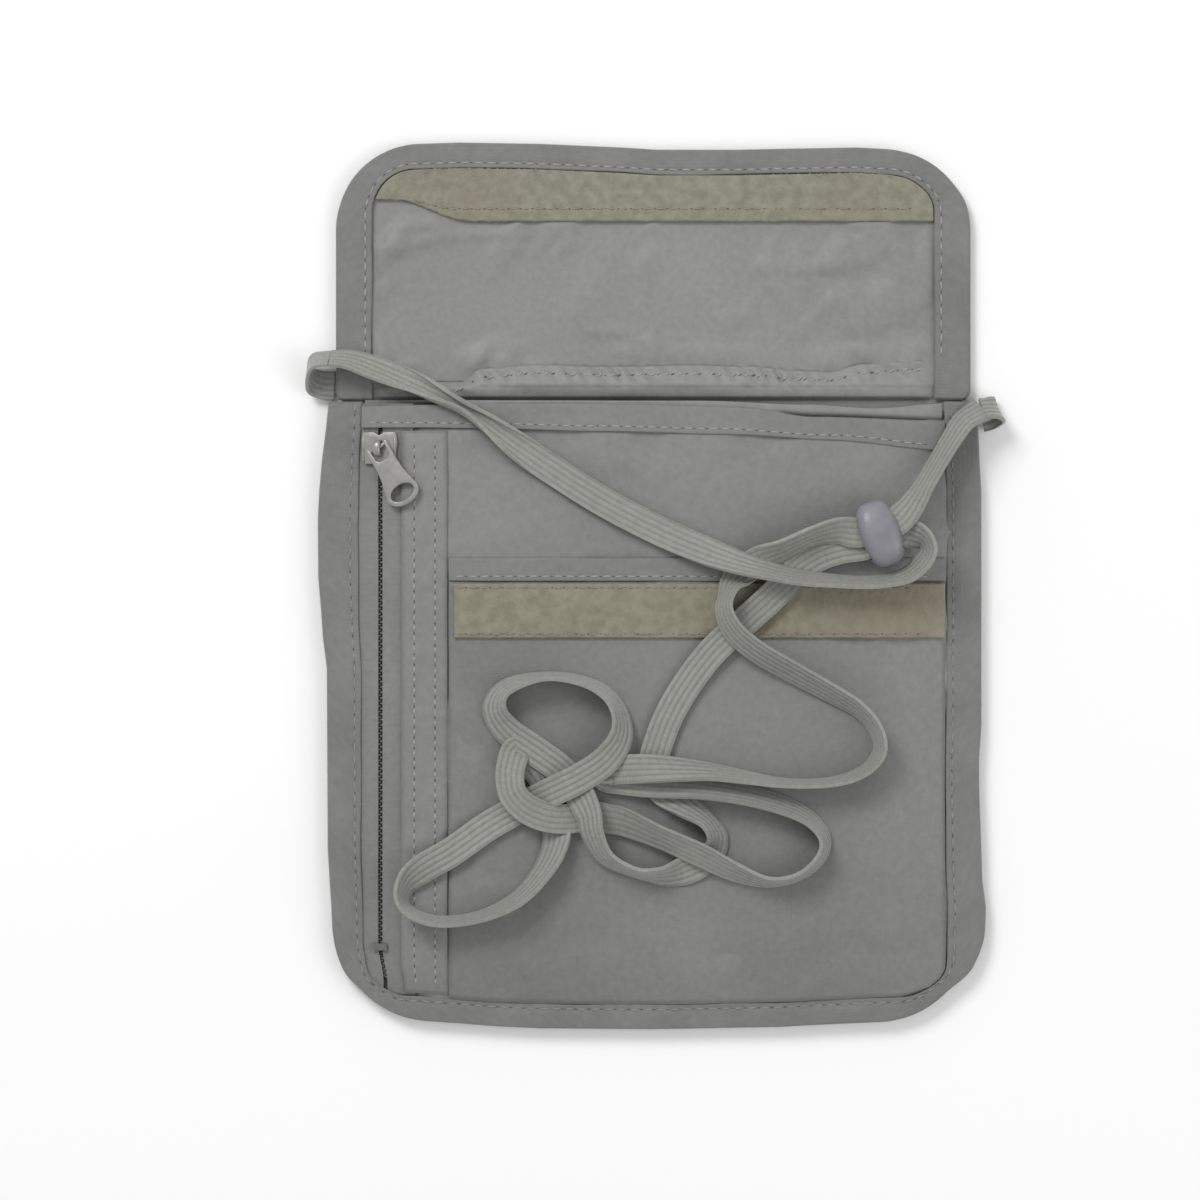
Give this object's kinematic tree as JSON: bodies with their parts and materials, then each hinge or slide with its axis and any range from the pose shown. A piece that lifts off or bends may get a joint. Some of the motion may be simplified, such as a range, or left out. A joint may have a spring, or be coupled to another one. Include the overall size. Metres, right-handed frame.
{
  "type": "neck pouch wallet",
  "caption": "Flat fabric neck pouch, its flap open, with a side zip pocket, a front patch pocket and a knotted flat neck cord through a sliding bead.",
  "frame": {"origin": "centre of the pouch's footprint with its flap open, on the surface that it lies on", "axes": "+Z out of the pouch's front, +Y towards the flap's free edge, +X to the right seen from the front"},
  "size_m": [0.1536, 0.196, 0.0156],
  "materials": {
    "nylon_taffeta": "fine plain weave, slight sheen",
    "nylon_hem": "folded plain weave with stitching",
    "lining_cloth": "thin coated cloth, soft wrinkles",
    "hook_and_loop": "napped pile, matt",
    "edge_binding": "ribbed grosgrain tape",
    "zip_tape": "woven tape, matt",
    "zip_coil": "moulded nylon coil",
    "zip_metal": "grey lacquer, satin",
    "cord_tape": "flat woven tape, satin",
    "bead_plastic": "moulded plastic, semi gloss"
  },
  "bodies": {
    "pouch": {"back_panel": "nylon_taffeta", "front_panel": "nylon_taffeta", "patch_pocket_panel": "nylon_taffeta", "patch_pocket_hem": "nylon_hem", "mouth_hem": "nylon_hem", "zip_facing": "nylon_taffeta", "back_lining": "lining_cloth", "zip_pocket_lining": "lining_cloth", "pocket_hook_strip": "hook_and_loop", "body_binding": "edge_binding", "zip_tape_left": "zip_tape", "zip_tape_right": "zip_tape", "zip_coil_left": "zip_coil", "zip_coil_right": "zip_coil", "zip_top_stop_left": "zip_metal", "zip_top_stop_right": "zip_metal", "zip_bottom_stop": "zip_metal", "cord_anchor_left": "cord_tape", "cord_anchor_right": "cord_tape", "neck_cord": "cord_tape"},
    "flap": {"flap_outer_panel": "nylon_taffeta", "flap_lining": "lining_cloth", "flap_root_lining": "lining_cloth", "flap_loop_strip": "hook_and_loop", "flap_binding": "edge_binding"},
    "zip_slider": {"zip_slider_body": "zip_metal"},
    "zip_pull_pin": {"zip_pull_pin": "zip_metal"},
    "zip_pull": {"zip_pull_tab": "zip_metal"},
    "bead": {"cord_bead": "bead_plastic"}
  },
  "joints": [
    {"name": "flap_fold", "type": "hinge", "parent": "pouch", "child": "flap", "pos_m": [0, 0.0412, 0.0056], "axis": [1, 0, 0], "range_deg": [0, 160], "deforming": ["neck_cord"]},
    {"name": "zip_slide", "type": "slide", "parent": "pouch", "child": "zip_slider", "axis": [0, -1, 0], "range_m": [0, 0.1055], "deforming": ["neck_cord"]},
    {"name": "pull_swivel", "type": "hinge", "parent": "zip_slider", "child": "zip_pull_pin", "pos_m": [-0.06095, 0.0307, 0.00716], "axis": [-0.2689, 0, 0.9632], "range_deg": [-50, 8]},
    {"name": "pull_flip", "type": "hinge", "parent": "zip_pull_pin", "child": "zip_pull", "pos_m": [-0.06095, 0.0307, 0.00716], "axis": [-0.8341, -0.5, -0.2329], "range_deg": [0, 135]},
    {"name": "bead_slide", "type": "slide", "parent": "pouch", "child": "bead", "axis": [-0.9397, -0.342, 0], "range_m": [0, 0.006], "deforming": ["neck_cord"]}
  ]
}
